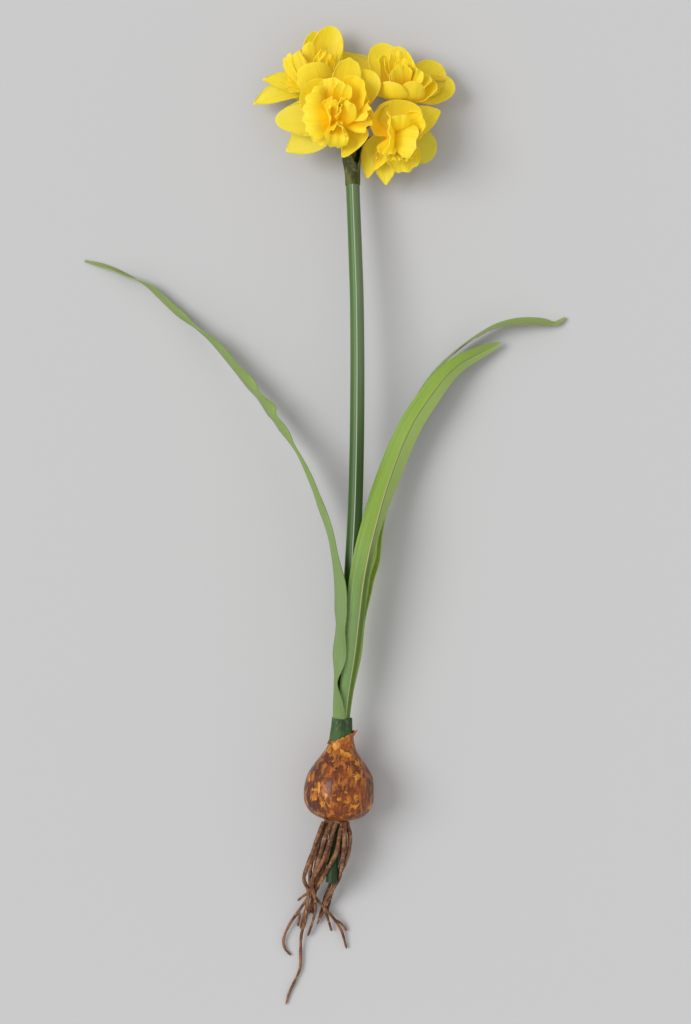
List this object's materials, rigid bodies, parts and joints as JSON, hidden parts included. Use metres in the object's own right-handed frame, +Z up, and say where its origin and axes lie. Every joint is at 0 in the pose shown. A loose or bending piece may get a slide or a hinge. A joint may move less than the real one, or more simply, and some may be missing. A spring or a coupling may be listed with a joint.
{
  "type": "double daffodil plant, lifted with its bulb",
  "caption": "Double yellow daffodil lifted with its bulb and roots and laid flat: one stem with a head of blooms, long strap leaves.",
  "frame": {"origin": "the bulb's small resting flat, on the surface the flower lies on", "axes": "+Y along the stem from the bulb to the head, +Z up off the surface, +X to the right seen from above"},
  "size_m": [0.3368, 0.6821, 0.0584],
  "materials": {
    "bulb_skin": "thin glossy brown skin with golden patches",
    "root": "dark brown, dull, finely wrinkled",
    "sheath_green": "dark green, satin",
    "stem_green": "smooth green with a long soft highlight",
    "leaf_green": "satin green with fine veins along the blade",
    "spathe_olive": "papery olive brown, mottled",
    "petal_yellow": "soft satin yellow, deeper orange in the throat"
  },
  "bodies": {
    "root": {"bulb": "bulb_skin", "roots": "root", "basal_sheath": "sheath_green", "stem": "stem_green", "leaf_right": "leaf_green", "leaf_left": "leaf_green", "leaf_back": "leaf_green", "spathe": "spathe_olive", "bloom_left": "petal_yellow", "bloom_front": "petal_yellow", "bloom_right": "petal_yellow", "bloom_low": "petal_yellow"}
  },
  "joints": []
}
